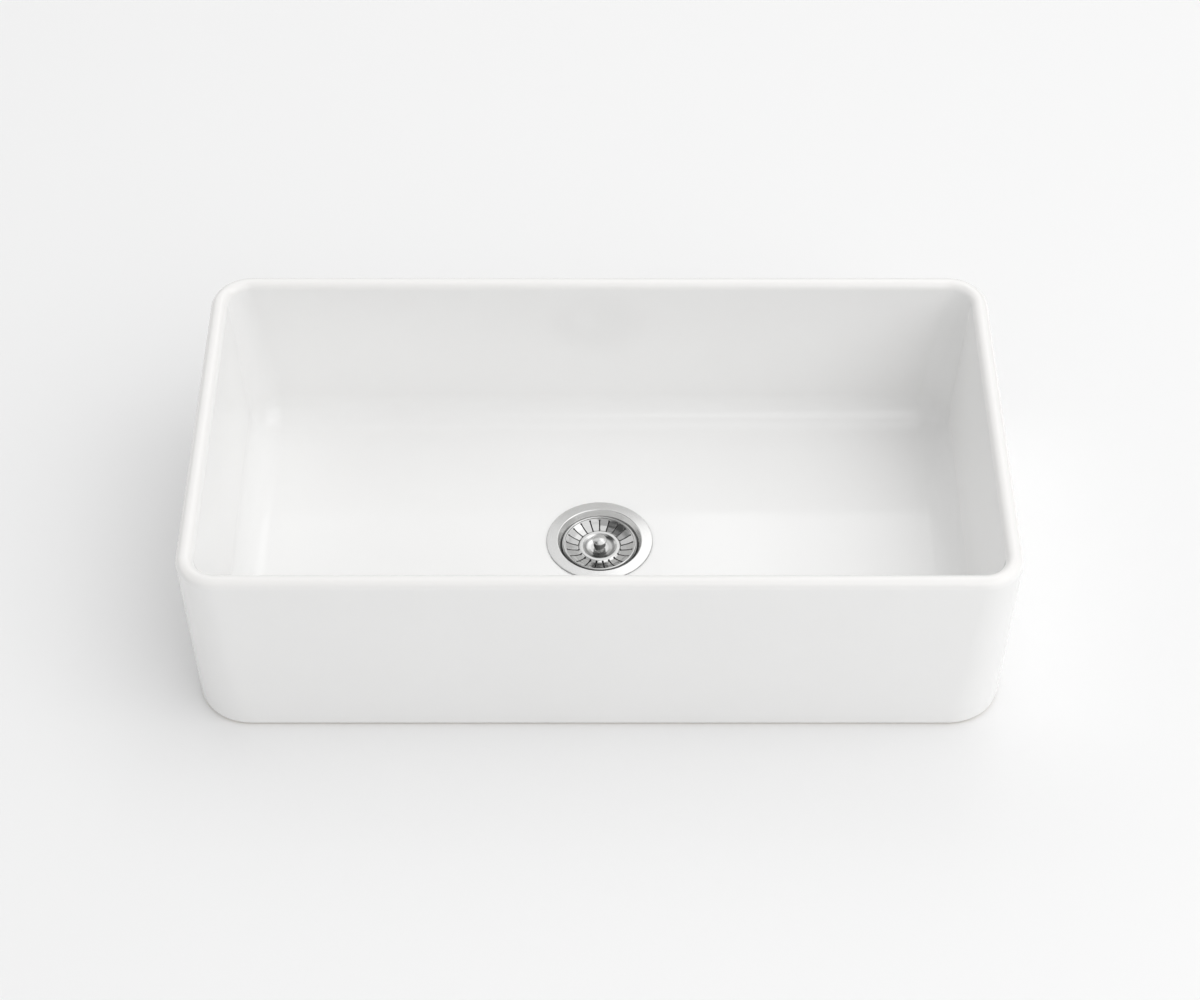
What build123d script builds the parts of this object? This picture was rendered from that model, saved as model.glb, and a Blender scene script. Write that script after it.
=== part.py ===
from build123d import *
from math import radians, tan
import os

# Farmhouse apron front sink with a basket strainer, in millimetres.
#
# +X is the sink's width, -Y the apron front, +Z up. The origin is the middle of the base plane.
# The basin is one ceramic casting: drafted walls, a rolled rim, a flat floor on a deep fillet,
# and a foot all round that leaves the underside hollow. The strainer is clamped through the drain
# hole by a locknut, and stays above the base plane, so that the sink stands flat. Its basket turns
# on the rubber stopper under it, and both lift straight out.

# ---- Basin, outside ----
WIDTH = 838.0               # over the rim, left to right
DEPTH = 457.0               # over the rim, apron to back
HEIGHT = 216.0              # base plane to rim top
RIM_WIDTH = 18.0            # the wall at the rim, rolled over in a full round
RIM_FLAT = 0.05             # left along the rim's top between its two rounds
RIM_CORNER_R = 41.6         # plan corner at the rim
BASE_CORNER_R = 56.6        # plan corner at the base
SIDE_DRAFT = 1.2            # degrees, left and right walls
FRONT_DRAFT = 0.5           # degrees, apron and back wall
BASE_EDGE_R = 4.0           # round along the foot's outer edge

# ---- Basin, inside ----
INNER_DRAFT = 5.3           # degrees, all four walls
INNER_CORNER_R = 24.0       # plan corner at the rim
FLOOR_FILLET_R = 34.0       # floor to wall
FLOOR_CORNER_EXTRA = 2.5    # plan corner at the floor, beyond the fillet that rolls round it
FLOOR_TOP = 36.0            # bowl floor above the base plane

# ---- Basin, underside and drain hole ----
FLOOR_THICKNESS = 18.0
FOOT_WIDTH = 32.0
FOOT_EDGE_R = 3.0           # round along the foot's inner edge
RECESS_CORNER_R = 25.0
RECESS_ROOF_R = 8.0         # fillet under the floor
DRAIN_WALL = 11.0           # ceramic that the strainer clamps, thinned from below
DRAIN_SEAT_MARGIN = 5.0     # the thinned patch reaches beyond the gasket
DRAIN_HOLE_CLEARANCE = 1.4  # round the strainer's throat
DRAIN_EDGE_R = 1.5          # glazed edge at both ends of the hole

# ---- Strainer: pressed flange, throat, ledge and cup ----
FLANGE_WIDTH = 13.0         # from the throat out
FLANGE_EDGE_R = 0.9
SHEET = 1.2
LIP_GAP = 0.25              # turned-down lip above the floor
SHOULDER_R = 2.6            # bend from flange to throat
THROAT_R = 44.0             # at the flange
THROAT_TAPER = 1.8          # narrower at the ledge
LEDGE_DEPTH = 6.8           # ledge below the flange's top
LEDGE_WIDTH = 5.6           # from the throat's foot in to the cup's wall
CUP_DEPTH = 24.6            # cup's floor below the flange's top
CUP_CORNER_R = 2.0
BEND_R = 0.8                # the cup's other bends
OUTLET_R = 20.6
OUTLET_THREAD_R = 23.9
OUTLET_LENGTH = 11.4
OUTLET_CHAMFER = 0.6

# ---- Strainer: seals and clamp ----
SEAL_THICKNESS = 0.8        # foam ring between flange and floor
SEAL_MARGIN = 0.5           # foam ring short of the hole's edge and of the lip
GASKET_THICKNESS = 3.0      # as wide as the flange above it
GASKET_EDGE_R = 0.6
WASHER_THICKNESS = 1.0
WASHER_SETBACK = 1.5        # inside the gasket
RING_CLEARANCE = 0.5        # gasket and washer round the cup
THREAD_CLEARANCE = 0.05     # every threaded pair
NUT_HEIGHT = 6.0
NUT_WALL = 7.0
NUT_SETBACK = 2.5           # its flange inside the washer
NUT_FLANGE_THICKNESS = 2.4
NUT_LUGS = 8
NUT_LUG_WIDTH = 7.0

# ---- Strainer: crossbar in the outlet ----
CROSSBAR_DROP = 3.4         # below the cup's floor
CROSSBAR_THICKNESS = 3.6
CROSSBAR_RING_WALL = 1.6
CROSSBAR_ARMS = 4
CROSSBAR_ARM_WIDTH = 3.0
COLLAR_WALL = 3.3
COLLAR_LENGTH = 6.4

# ---- Basket ----
BASKET_CLEARANCE = 2.7      # rim inside the throat's foot
BEAD_R = 1.2                # rolled rim
SEAT_GAP = 0.3              # between moving pieces and what they rest on
BASKET_SHEET = 0.8
PRESS_R = 1.6               # bends of the pressed sheet
SHELF_DROP = 1.4            # shelf inside the bead, below the bead's top
SHELF_WIDTH = 5.1           # shelf, from the bead's middle in
CHANNEL_DEPTH = 11.2        # below the bead's top
OUTER_SLOPE_RUN = 2.8       # from the shelf in to the channel
CHANNEL_WIDTH = 3.8
CREST_DROP = 5.3            # raised ring, below the bead's top
INNER_SLOPE_RUN = 4.1       # from the channel in to the raised ring
CREST_WIDTH = 2.4
RECESS_DROP = 7.6           # the knob's recess, below the bead's top
RECESS_SLOPE_RUN = 2.7      # from the raised ring in to the recess
SLOTS = 21
SLOT_WIDTH = 1.9
SLOT_OUTER_MARGIN = 2.3     # slot short of the bead's middle
SLOT_INNER_MARGIN = 0.7     # slot short of the raised ring

# ---- Knob ----
KNOB_HEIGHT = 13.4
KNOB_BASE_R = 6.8
KNOB_BASE_HEIGHT = 1.4
KNOB_WAIST_R = 4.5
KNOB_CAP_R = 7.6
KNOB_CAP_HEIGHT = 3.0
KNOB_DOME_HEIGHT = 1.4
KNOB_EDGE_R = 0.6
KNOB_SOCKET_DEPTH = 7.0

# ---- Post, stopper and their nut ----
POST_R = 3.0
RUN_CLEARANCE = 0.1         # post in the stopper and in the collar
POST_END_GAP = 0.5          # post above the collar's lower end, and below the socket's top
POST_TIP_CHAMFER = 0.5
POST_FLANGE_R = 5.2
POST_FLANGE_THICKNESS = 1.6
STEM_NUT_FLATS = 10.0
STEM_NUT_HEIGHT = 2.0
BACK_WASHER_R = 11.0
BACK_WASHER_THICKNESS = 1.0
STOPPER_R = 26.0
STOPPER_EDGE = 2.2          # thickness at the sealing edge
STOPPER_RISE = 1.6          # from the edge to the hub's foot
STOPPER_ROUND_R = 0.7
HUB_R = 9.5
ORING_SECTION_R = 0.55
ORING_PROUD = 0.05          # ring beyond the post
ORING_SETBACK = 1.0         # groove above the post's tip
GROOVE_CLEARANCE = 0.02     # ring in its groove

# ---- Heights and radii that follow ----
rim_mid = HEIGHT - RIM_WIDTH / 2
roof_z = FLOOR_TOP - FLOOR_THICKNESS
seat_z = FLOOR_TOP - DRAIN_WALL
flange_under = FLOOR_TOP + SEAL_THICKNESS
flange_top = flange_under + SHEET
ledge_z = flange_top - LEDGE_DEPTH
cup_floor = flange_top - CUP_DEPTH
cup_under = cup_floor - SHEET
flange_r = THROAT_R + FLANGE_WIDTH
gasket_r = flange_r
washer_r = gasket_r - WASHER_SETBACK
nut_flange_r = washer_r - NUT_SETBACK
throat_foot_r = THROAT_R - THROAT_TAPER
cup_r = throat_foot_r - LEDGE_WIDTH
cup_outer_r = cup_r + SHEET
outlet_z = cup_under - OUTLET_LENGTH
drain_hole_r = THROAT_R + SHEET + DRAIN_HOLE_CLEARANCE
drain_seat_r = gasket_r + DRAIN_SEAT_MARGIN
gasket_z = seat_z - GASKET_THICKNESS
washer_z = gasket_z - WASHER_THICKNESS
nut_z = washer_z - NUT_HEIGHT
crossbar_z = cup_floor - CROSSBAR_DROP
collar_z = crossbar_z - COLLAR_LENGTH
basket_z = ledge_z + SEAT_GAP + 2 * BEAD_R
bead_mid_r = throat_foot_r - BASKET_CLEARANCE - BEAD_R
shelf_inner_r = bead_mid_r - SHELF_WIDTH
channel_outer_r = shelf_inner_r - OUTER_SLOPE_RUN
channel_inner_r = channel_outer_r - CHANNEL_WIDTH
crest_outer_r = channel_inner_r - INNER_SLOPE_RUN
crest_inner_r = crest_outer_r - CREST_WIDTH
recess_r = crest_inner_r - RECESS_SLOPE_RUN
recess_z = basket_z - RECESS_DROP
stem_nut_z = recess_z - BASKET_SHEET - STEM_NUT_HEIGHT
back_washer_z = stem_nut_z - BACK_WASHER_THICKNESS
hub_z = back_washer_z - SEAT_GAP
stopper_z = cup_floor + SEAT_GAP
post_flange_z = stopper_z - SEAT_GAP
post_tip = collar_z + POST_END_GAP
running_r = POST_R + RUN_CLEARANCE
tight_r = POST_R + THREAD_CLEARANCE


def turned(*corners):
    """A solid of revolution. Each corner is (radius, height) or (radius, height, round)."""
    points = [corner[:2] for corner in corners]
    rounds = [corner[2] if len(corner) > 2 else 0 for corner in corners]
    with BuildPart() as part:
        with BuildSketch(Plane.XZ):
            with BuildLine():
                FilletPolyline(*points, radius=rounds, close=True)
            make_face()
        revolve(axis=Axis.Z)
    return part.part


def ring(inner_r, outer_r, low, high, edge_r=0):
    """A flat ring between two heights, with its outer edges rounded."""
    return turned((inner_r, low), (inner_r, high), (outer_r, high, edge_r), (outer_r, low, edge_r))


def slab(half_x, half_y, corner_r, z):
    """A rounded rectangle lying at height z."""
    with BuildSketch(Plane.XY.offset(z)) as sketch:
        RectangleRounded(2 * half_x, 2 * half_y, corner_r)
    return sketch.sketch


def wall_shift(draft, z):
    """How far a wall of that draft has moved outward at height z, from the middle of the rim."""
    return tan(radians(draft)) * (z - rim_mid)


def outside():
    """The casting's outside, lofted from base to rim and still square at the top."""
    levels = [
        slab(
            WIDTH / 2 + wall_shift(SIDE_DRAFT, z),
            DEPTH / 2 + wall_shift(FRONT_DRAFT, z),
            corner_r,
            z,
        )
        for z, corner_r in ((0, BASE_CORNER_R), (HEIGHT, RIM_CORNER_R))
    ]
    return loft(levels, ruled=True)


def bowl_space():
    """The space inside the bowl, with the fillet round its floor."""
    levels = []
    floor_corner_r = FLOOR_FILLET_R + FLOOR_CORNER_EXTRA
    for z, corner_r in ((FLOOR_TOP, floor_corner_r), (HEIGHT, INNER_CORNER_R)):
        inset = RIM_WIDTH - wall_shift(INNER_DRAFT, z)
        levels.append(slab(WIDTH / 2 - inset, DEPTH / 2 - inset, corner_r, z))
    space = loft(levels, ruled=True)
    return fillet(space.edges().group_by(Axis.Z)[0], FLOOR_FILLET_R)


def rim_roll_r():
    """The round that the rim's outer and inner top edges share, set by the narrower wall."""
    fits = []
    for draft in (SIDE_DRAFT, FRONT_DRAFT):
        flat = RIM_WIDTH + wall_shift(draft, HEIGHT) - wall_shift(INNER_DRAFT, HEIGHT)
        outer_share = 1 / tan(radians(90 - draft) / 2)
        inner_share = 1 / tan(radians(90 + INNER_DRAFT) / 2)
        fits.append((flat - RIM_FLAT) / (outer_share + inner_share))
    return min(fits)


def foot_recess():
    """The hollow under the floor, inside the foot."""
    half_x = WIDTH / 2 + wall_shift(SIDE_DRAFT, 0) - FOOT_WIDTH
    half_y = DEPTH / 2 + wall_shift(FRONT_DRAFT, 0) - FOOT_WIDTH
    space = extrude(slab(half_x, half_y, RECESS_CORNER_R, 0), amount=roof_z)
    return fillet(space.edges().group_by(Axis.Z)[-1], RECESS_ROOF_R)


def drain_hole():
    """The hole through the floor and the thinned patch under it, as one cutter."""
    wide_r = drain_hole_r + DRAIN_EDGE_R
    return turned(
        (0, 0),
        (drain_seat_r, 0),
        (drain_seat_r, seat_z),
        (wide_r, seat_z),
        (drain_hole_r, seat_z + DRAIN_EDGE_R),
        (drain_hole_r, FLOOR_TOP - DRAIN_EDGE_R),
        (wide_r, FLOOR_TOP),
        (wide_r, HEIGHT),
        (0, HEIGHT),
    )


def basin():
    """The ceramic sink."""
    block = outside() - bowl_space()
    block = fillet(block.edges().group_by(Axis.Z)[-1], rim_roll_r())
    block -= foot_recess()
    block = fillet(block.faces().sort_by(Axis.Z)[0].outer_wire().edges(), BASE_EDGE_R)
    block = fillet(block.faces().sort_by(Axis.Z)[0].inner_wires()[0].edges(), FOOT_EDGE_R)
    return block - drain_hole()


def strainer_body():
    """Flange, throat, ledge, cup and outlet, pressed and turned as one shell."""
    lip_z = FLOOR_TOP + LIP_GAP
    return turned(
        (OUTLET_R, outlet_z),
        (OUTLET_R, cup_floor, BEND_R),
        (cup_r, cup_floor, CUP_CORNER_R),
        (cup_r, ledge_z, BEND_R),
        (throat_foot_r, ledge_z, BEND_R),
        (THROAT_R, flange_top, SHOULDER_R),
        (flange_r, flange_top, FLANGE_EDGE_R),
        (flange_r, lip_z),
        (flange_r - SHEET, lip_z),
        (flange_r - SHEET, flange_under),
        (THROAT_R + SHEET, flange_under, SHOULDER_R - SHEET),
        (throat_foot_r + SHEET, ledge_z - SHEET, BEND_R),
        (cup_outer_r, ledge_z - SHEET),
        (cup_outer_r, cup_under, CUP_CORNER_R),
        (OUTLET_THREAD_R, cup_under),
        (OUTLET_THREAD_R, outlet_z + OUTLET_CHAMFER),
        (OUTLET_THREAD_R - OUTLET_CHAMFER, outlet_z),
    )


def flange_seal():
    """Foam ring under the flange."""
    inner_r = drain_hole_r + DRAIN_EDGE_R + SEAL_MARGIN
    return ring(inner_r, flange_r - SHEET - SEAL_MARGIN, FLOOR_TOP, flange_under)


def under_gasket():
    """Rubber ring under the floor."""
    return ring(cup_outer_r + RING_CLEARANCE, gasket_r, gasket_z, seat_z, GASKET_EDGE_R)


def friction_washer():
    """Thin ring that lets the locknut turn on the gasket."""
    return ring(cup_outer_r + RING_CLEARANCE, washer_r, washer_z, gasket_z)


def locknut():
    """Flanged ring nut on the cup, with lugs for a wrench."""
    bore_r = cup_outer_r + THREAD_CLEARANCE
    body_r = bore_r + NUT_WALL
    with BuildPart() as nut:
        with BuildSketch(Plane.XY.offset(nut_z)):
            Circle(body_r)
            with PolarLocations((bore_r + nut_flange_r) / 2, NUT_LUGS):
                Rectangle(nut_flange_r - bore_r, NUT_LUG_WIDTH)
        extrude(amount=NUT_HEIGHT)
        with BuildSketch(Plane.XY.offset(washer_z)):
            Circle(nut_flange_r)
        extrude(amount=-NUT_FLANGE_THICKNESS)
        with BuildSketch(Plane.XY.offset(nut_z)):
            Circle(bore_r)
        extrude(amount=NUT_HEIGHT, mode=Mode.SUBTRACT)
    return nut.part


def strainer_crossbar():
    """A ring in the outlet whose arms carry the collar for the post."""
    outer_r = OUTLET_R - THREAD_CLEARANCE
    with BuildPart() as bar:
        with BuildSketch(Plane.XY.offset(crossbar_z)):
            Circle(outer_r)
            Circle(outer_r - CROSSBAR_RING_WALL, mode=Mode.SUBTRACT)
            with PolarLocations(outer_r / 2 - CROSSBAR_RING_WALL / 4, CROSSBAR_ARMS):
                Rectangle(outer_r - CROSSBAR_RING_WALL / 2, CROSSBAR_ARM_WIDTH)
        extrude(amount=-CROSSBAR_THICKNESS)
        with BuildSketch(Plane.XY.offset(crossbar_z)):
            Circle(running_r + COLLAR_WALL)
        extrude(amount=-COLLAR_LENGTH)
        with BuildSketch(Plane.XY.offset(crossbar_z)):
            Circle(running_r)
        extrude(amount=-COLLAR_LENGTH, mode=Mode.SUBTRACT)
    return bar.part


def basket_bowl():
    """The pressed basket with its rolled rim and radial slots."""
    shelf_z = basket_z - SHELF_DROP
    channel_z = basket_z - CHANNEL_DEPTH
    crest_z = basket_z - CREST_DROP
    slot_outer_r = bead_mid_r - SLOT_OUTER_MARGIN
    slot_inner_r = crest_outer_r + SLOT_INNER_MARGIN
    with BuildPart() as bowl:
        with BuildSketch(Plane.XZ):
            with BuildLine():
                top = FilletPolyline(
                    (bead_mid_r, shelf_z),
                    (shelf_inner_r, shelf_z),
                    (channel_outer_r, channel_z),
                    (channel_inner_r, channel_z),
                    (crest_outer_r, crest_z),
                    (crest_inner_r, crest_z),
                    (recess_r, recess_z),
                    (tight_r, recess_z),
                    radius=PRESS_R,
                )
                offset(top, amount=BASKET_SHEET, side=Side.LEFT, mode=Mode.ADD)
            make_face()
            with Locations((bead_mid_r, basket_z - BEAD_R)):
                Circle(BEAD_R)
        revolve(axis=Axis.Z)
        with BuildSketch(Plane.XY.offset(basket_z)):
            with PolarLocations((slot_outer_r + slot_inner_r) / 2, SLOTS, start_angle=90):
                SlotOverall(slot_outer_r - slot_inner_r, SLOT_WIDTH)
        extrude(amount=-(CHANNEL_DEPTH + 2 * BASKET_SHEET), mode=Mode.SUBTRACT)
    return bowl.part


def basket_knob():
    """The waisted knob with its shallow dome, bored from below for the post."""
    waist_low = recess_z + KNOB_BASE_HEIGHT
    waist_high = recess_z + KNOB_HEIGHT - KNOB_CAP_HEIGHT
    dome_z = recess_z + KNOB_HEIGHT - KNOB_DOME_HEIGHT
    dome_r = (KNOB_CAP_R**2 + KNOB_DOME_HEIGHT**2) / (2 * KNOB_DOME_HEIGHT)
    socket_z = recess_z + KNOB_SOCKET_DEPTH
    with BuildPart() as knob:
        with BuildSketch(Plane.XZ) as section:
            with BuildLine():
                RadiusArc((0, recess_z + KNOB_HEIGHT), (KNOB_CAP_R, dome_z), dome_r)
                Line((KNOB_CAP_R, dome_z), (KNOB_CAP_R, waist_high))
                ThreePointArc(
                    (KNOB_CAP_R, waist_high),
                    (KNOB_WAIST_R, (waist_low + waist_high) / 2),
                    (KNOB_BASE_R, waist_low),
                )
                Polyline(
                    (KNOB_BASE_R, waist_low),
                    (KNOB_BASE_R, recess_z),
                    (tight_r, recess_z),
                    (tight_r, socket_z),
                    (0, socket_z),
                    (0, recess_z + KNOB_HEIGHT),
                )
            make_face()
            fillet(section.vertices().filter_by(lambda v: v.X > KNOB_WAIST_R), KNOB_EDGE_R)
        revolve(axis=Axis.Z)
    return knob.part


def groove_floor_r():
    """Radius of the groove's floor, which the ring just clears."""
    return POST_R + ORING_PROUD - 2 * ORING_SECTION_R - GROOVE_CLEARANCE


def groove_low():
    """Height of the groove's lower side."""
    return post_tip + POST_TIP_CHAMFER + ORING_SETBACK


def groove_high():
    """Height of the groove's upper side."""
    return groove_low() + 2 * (ORING_SECTION_R + GROOVE_CLEARANCE)


def basket_post():
    """The pin from the knob to the collar: its flange carries the stopper."""
    return turned(
        (0, post_tip),
        (POST_R - POST_TIP_CHAMFER, post_tip),
        (POST_R, post_tip + POST_TIP_CHAMFER),
        (POST_R, groove_low()),
        (groove_floor_r(), groove_low()),
        (groove_floor_r(), groove_high()),
        (POST_R, groove_high()),
        (POST_R, post_flange_z - POST_FLANGE_THICKNESS),
        (POST_FLANGE_R, post_flange_z - POST_FLANGE_THICKNESS),
        (POST_FLANGE_R, post_flange_z),
        (POST_R, post_flange_z),
        (POST_R, recess_z + KNOB_SOCKET_DEPTH - POST_END_GAP),
        (0, recess_z + KNOB_SOCKET_DEPTH - POST_END_GAP),
    )


def post_oring():
    """The grip ring in the post's groove."""
    middle = Plane.XY.offset((groove_low() + groove_high()) / 2)
    return middle * Torus(POST_R + ORING_PROUD - ORING_SECTION_R, ORING_SECTION_R)


def stem_nut():
    """Hexagonal nut that clamps the basket against the knob."""
    with BuildPart() as nut:
        with BuildSketch(Plane.XY.offset(stem_nut_z)):
            RegularPolygon(STEM_NUT_FLATS / 2, 6, major_radius=False)
            Circle(tight_r, mode=Mode.SUBTRACT)
        extrude(amount=STEM_NUT_HEIGHT)
    return nut.part


def seal_washer():
    """Backs the stopper's hub under the stem nut."""
    return ring(tight_r, BACK_WASHER_R, back_washer_z, stem_nut_z)


def stopper_seal():
    """The rubber stopper: a disc that thickens to a hub round the post."""
    edge_z = stopper_z + STOPPER_EDGE
    return turned(
        (running_r, stopper_z),
        (STOPPER_R, stopper_z, STOPPER_ROUND_R),
        (STOPPER_R, edge_z, STOPPER_ROUND_R),
        (HUB_R, edge_z + STOPPER_RISE, STOPPER_ROUND_R),
        (HUB_R, hub_z, STOPPER_ROUND_R),
        (running_r, hub_z),
    )


PIECES = (
    basin,
    strainer_body,
    flange_seal,
    under_gasket,
    friction_washer,
    locknut,
    strainer_crossbar,
    basket_bowl,
    basket_knob,
    basket_post,
    post_oring,
    stem_nut,
    seal_washer,
    stopper_seal,
)

os.makedirs("parts", exist_ok=True)
for piece in PIECES:
    export_step(piece(), f"parts/{piece.__name__}.step")
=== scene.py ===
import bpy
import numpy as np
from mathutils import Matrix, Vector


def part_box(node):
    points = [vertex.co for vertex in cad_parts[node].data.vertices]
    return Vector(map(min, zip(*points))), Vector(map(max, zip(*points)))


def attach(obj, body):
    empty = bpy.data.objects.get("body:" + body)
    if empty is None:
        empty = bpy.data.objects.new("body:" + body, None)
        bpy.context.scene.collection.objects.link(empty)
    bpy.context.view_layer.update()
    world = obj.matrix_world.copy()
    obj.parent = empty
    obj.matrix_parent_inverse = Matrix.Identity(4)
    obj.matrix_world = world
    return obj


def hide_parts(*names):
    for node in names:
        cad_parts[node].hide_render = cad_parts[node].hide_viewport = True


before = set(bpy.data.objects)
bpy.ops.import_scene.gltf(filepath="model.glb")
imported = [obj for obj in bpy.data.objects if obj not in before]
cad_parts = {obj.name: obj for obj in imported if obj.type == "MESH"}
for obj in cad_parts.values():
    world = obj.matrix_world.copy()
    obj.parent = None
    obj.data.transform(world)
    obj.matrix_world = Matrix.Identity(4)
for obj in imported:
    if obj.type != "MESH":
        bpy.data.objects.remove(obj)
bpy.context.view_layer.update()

# %% [markdown]
# # A white farmhouse sink, one surface at a time
#
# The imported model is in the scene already: a ceramic basin, a steel strainer and a basket that
# lifts and turns. Here each visible surface is worked out again with numpy, fine enough for a
# glossy finish, and then glazed, spun or pressed in the shader. Lengths are in millimetres, as
# on a drawing, and turn into Blender's metres at the last moment.

MM = 0.001


def node_box(name):
    """Lowest and highest corner of a CAD node, in millimetres."""
    return [np.array(corner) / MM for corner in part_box(name)]


sink_low, sink_high = node_box("basin")

# %% [markdown]
# ## From a grid of points to a mesh
#
# Every new surface here is a grid: one direction runs round the piece, the other runs along its
# profile. Four neighbours make a face. Points that fall together, at a pole or a seam, are
# welded, so the skin is closed. The shading normal comes from the grid as well: it is the cross
# product of the two steps through a point. A long flat step outweighs a short curved one there,
# so a flat face stays flat right up to the fillet beside it. Plain smooth shading would smear the
# reflections there, and on white gloss that is what the eye sees first.

# %% Grid to mesh
WELD_DECIMALS = 4


def step_through(grid, axis, closed):
    """Half the step from the point before to the point after, along one axis of a grid.

    A closed axis wraps round. The ends of an open one use their only neighbour."""
    if closed:
        return (np.roll(grid, -1, axis) - np.roll(grid, 1, axis)) / 2
    return np.gradient(grid, axis=axis)


def quads_of(sheets, rows, columns, closed_rows, closed_columns):
    """Corner numbers of every face: a point, the one after it along the profile, that one's
    neighbour round the piece, and the first point's neighbour."""
    index = np.arange(sheets * rows * columns).reshape(sheets, rows, columns)
    if closed_rows:
        index = np.concatenate([index, index[:, :1]], 1)
    if closed_columns:
        index = np.concatenate([index, index[:, :, :1]], 2)
    corners = (index[:, :-1, :-1], index[:, 1:, :-1], index[:, 1:, 1:], index[:, :-1, 1:])
    return np.stack(corners, -1).reshape(-1, 4)


def make_mesh(name, grid, closed_rows=False, closed_columns=True, own_normals=True):
    """A welded mesh object from a (rows, columns, 3) grid in millimetres, or a stack of them.

    Rows follow the profile, columns run anticlockwise round the piece seen from above. A
    profile that is walked outward along its top has its faces outside. A piece that a modifier
    thickens later goes without the grid's own normals."""
    grid = grid.reshape(-1, *grid.shape[-3:])
    along = step_through(grid, 1, closed_rows)
    around = step_through(grid, 2, closed_columns)
    normals = np.cross(along, around).reshape(-1, 3)
    quads = quads_of(*grid.shape[:3], closed_rows, closed_columns)
    points = grid.reshape(-1, 3)
    rounded = np.round(points, WELD_DECIMALS)
    _, first, weld = np.unique(rounded, axis=0, return_index=True, return_inverse=True)
    weld = weld.reshape(-1)
    summed = np.zeros((len(first), 3))
    np.add.at(summed, weld, normals)
    length = np.linalg.norm(summed, axis=1, keepdims=True)
    summed = summed / np.where(length > 0, length, 1)
    faces = [list(dict.fromkeys(face)) for face in weld[quads].tolist()]
    faces = [face for face in faces if len(face) > 2]
    mesh = bpy.data.meshes.new(name)
    mesh.from_pydata((points[first] * MM).tolist(), [], faces)
    mesh.shade_smooth()
    if own_normals:
        mesh.normals_split_custom_set_from_vertices(summed.tolist())
    piece = bpy.data.objects.new(name, mesh)
    bpy.context.scene.collection.objects.link(piece)
    print(f"{name}: {len(first)} points, {len(faces)} faces")
    return piece


def stands_for(piece, node, body):
    """The piece takes a CAD node's place on its body."""
    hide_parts(node)
    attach(piece, body)


# %% [markdown]
# ## The basin
#
# A fireclay sink is one casting. Walk along its section and it is a single closed line: across
# the floor, up the big fillet, up the inner wall, over the rolled rim, down the outside, round
# the foot, into the hollow underneath and back through the drain hole. At each point of that
# walk the plan is a rounded rectangle, and near the drain it turns into a circle. So the basin is
# a stack of such rings. A sculpted box with a bevel could look similar, but its corners would
# not taper as the draft of a mould makes them taper.

# %% The basin's sizes
WIDTH, DEPTH, HEIGHT = sink_high - sink_low
RIM_WIDTH = 18.0
RIM_ROLL_R = 8.95
RIM_CORNER_R, BASE_CORNER_R = 41.6, 56.6
INNER_CORNER_R, FLOOR_CORNER_R = 24.0, 36.5
SHARPEST_R = 0.02
SIDE_DRAFT, FRONT_DRAFT, INNER_DRAFT = np.radians([1.2, 0.5, 5.3])
FLOOR_Z, FLOOR_FILLET_R = 36.0, 34.0
ROOF_Z, ROOF_FILLET_R = 18.0, 8.0
FOOT_WIDTH, BASE_EDGE_R, FOOT_EDGE_R = 32.0, 6.0, 3.0
RECESS_CORNER_R = 25.0
SEAT_Z, SEAT_R = 25.0, 62.0
DRAIN_R, DRAIN_EDGE_R = 46.6, 1.5
rim_mid = HEIGHT - RIM_WIDTH / 2
print(f"basin: {WIDTH:.0f} x {DEPTH:.0f} x {HEIGHT:.0f} mm, rim {RIM_WIDTH} mm")


# %% A ring that can be a rounded rectangle or a circle
def plan_path(long_steps, short_steps, corner_steps):
    """The plan's path as two arrays: where each point's corner centre lies, in shares of the
    straight sides, and the unit direction in which the point stands off that centre."""
    centres, directions = [], []
    signs = np.array([(1, 1), (-1, 1), (-1, -1), (1, -1)], float)
    for corner in range(4):
        turn = np.radians(90 * corner + np.linspace(0, 90, corner_steps + 1))
        directions.append(np.stack([np.cos(turn), np.sin(turn)], 1))
        centres.append(np.repeat(signs[corner : corner + 1], corner_steps + 1, 0))
        steps = long_steps if corner % 2 == 0 else short_steps
        share = np.linspace(0, 1, steps + 1)[1:-1, None]
        centres.append(signs[corner] * (1 - share) + signs[(corner + 1) % 4] * share)
        directions.append(np.repeat(directions[-1][-1:], steps - 1, 0))
    return np.concatenate(centres), np.concatenate(directions)


def rings(levels, path):
    """One ring of points per level. A level is (half width, half depth, corner radius, height,
    circle radius, share of circle). A ring's point is its corner centre plus the corner radius
    along its direction; the share mixes it with the circle's point at the same bearing."""
    centres, directions = path
    half_x, half_y, corner, z, circle, share = [column[:, None] for column in levels.T]
    x = centres[:, 0] * (half_x - corner) + directions[:, 0] * corner
    y = centres[:, 1] * (half_y - corner) + directions[:, 1] * corner
    bearing = np.arctan2(y[0], x[0])
    x = x * (1 - share) + circle * np.cos(bearing) * share
    y = y * (1 - share) + circle * np.sin(bearing) * share
    return np.stack([x, y, np.broadcast_to(z, x.shape)], -1)


# %% [markdown]
# The walls lean. A small helper gives the plan of the outer or the inner wall at any height, and
# another walks an arc of the section from there. Both return levels for the stack above.

# %% Walls and arcs of the section
def outer_wall(z):
    """Half width, half depth and corner radius outside: each changes evenly with height."""
    rise = z - rim_mid
    return np.array([
        WIDTH / 2 + np.tan(SIDE_DRAFT) * rise,
        DEPTH / 2 + np.tan(FRONT_DRAFT) * rise,
        BASE_CORNER_R + (RIM_CORNER_R - BASE_CORNER_R) * z / HEIGHT,
    ])


def inner_wall(z):
    """The same for the bowl, whose corners open out from rim to floor."""
    inset = RIM_WIDTH - np.tan(INNER_DRAFT) * (z - rim_mid)
    share = (z - FLOOR_Z) / (HEIGHT - FLOOR_Z)
    corner = FLOOR_CORNER_R + (INNER_CORNER_R - FLOOR_CORNER_R) * share
    return np.array([WIDTH / 2 - inset, DEPTH / 2 - inset, corner])


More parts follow.
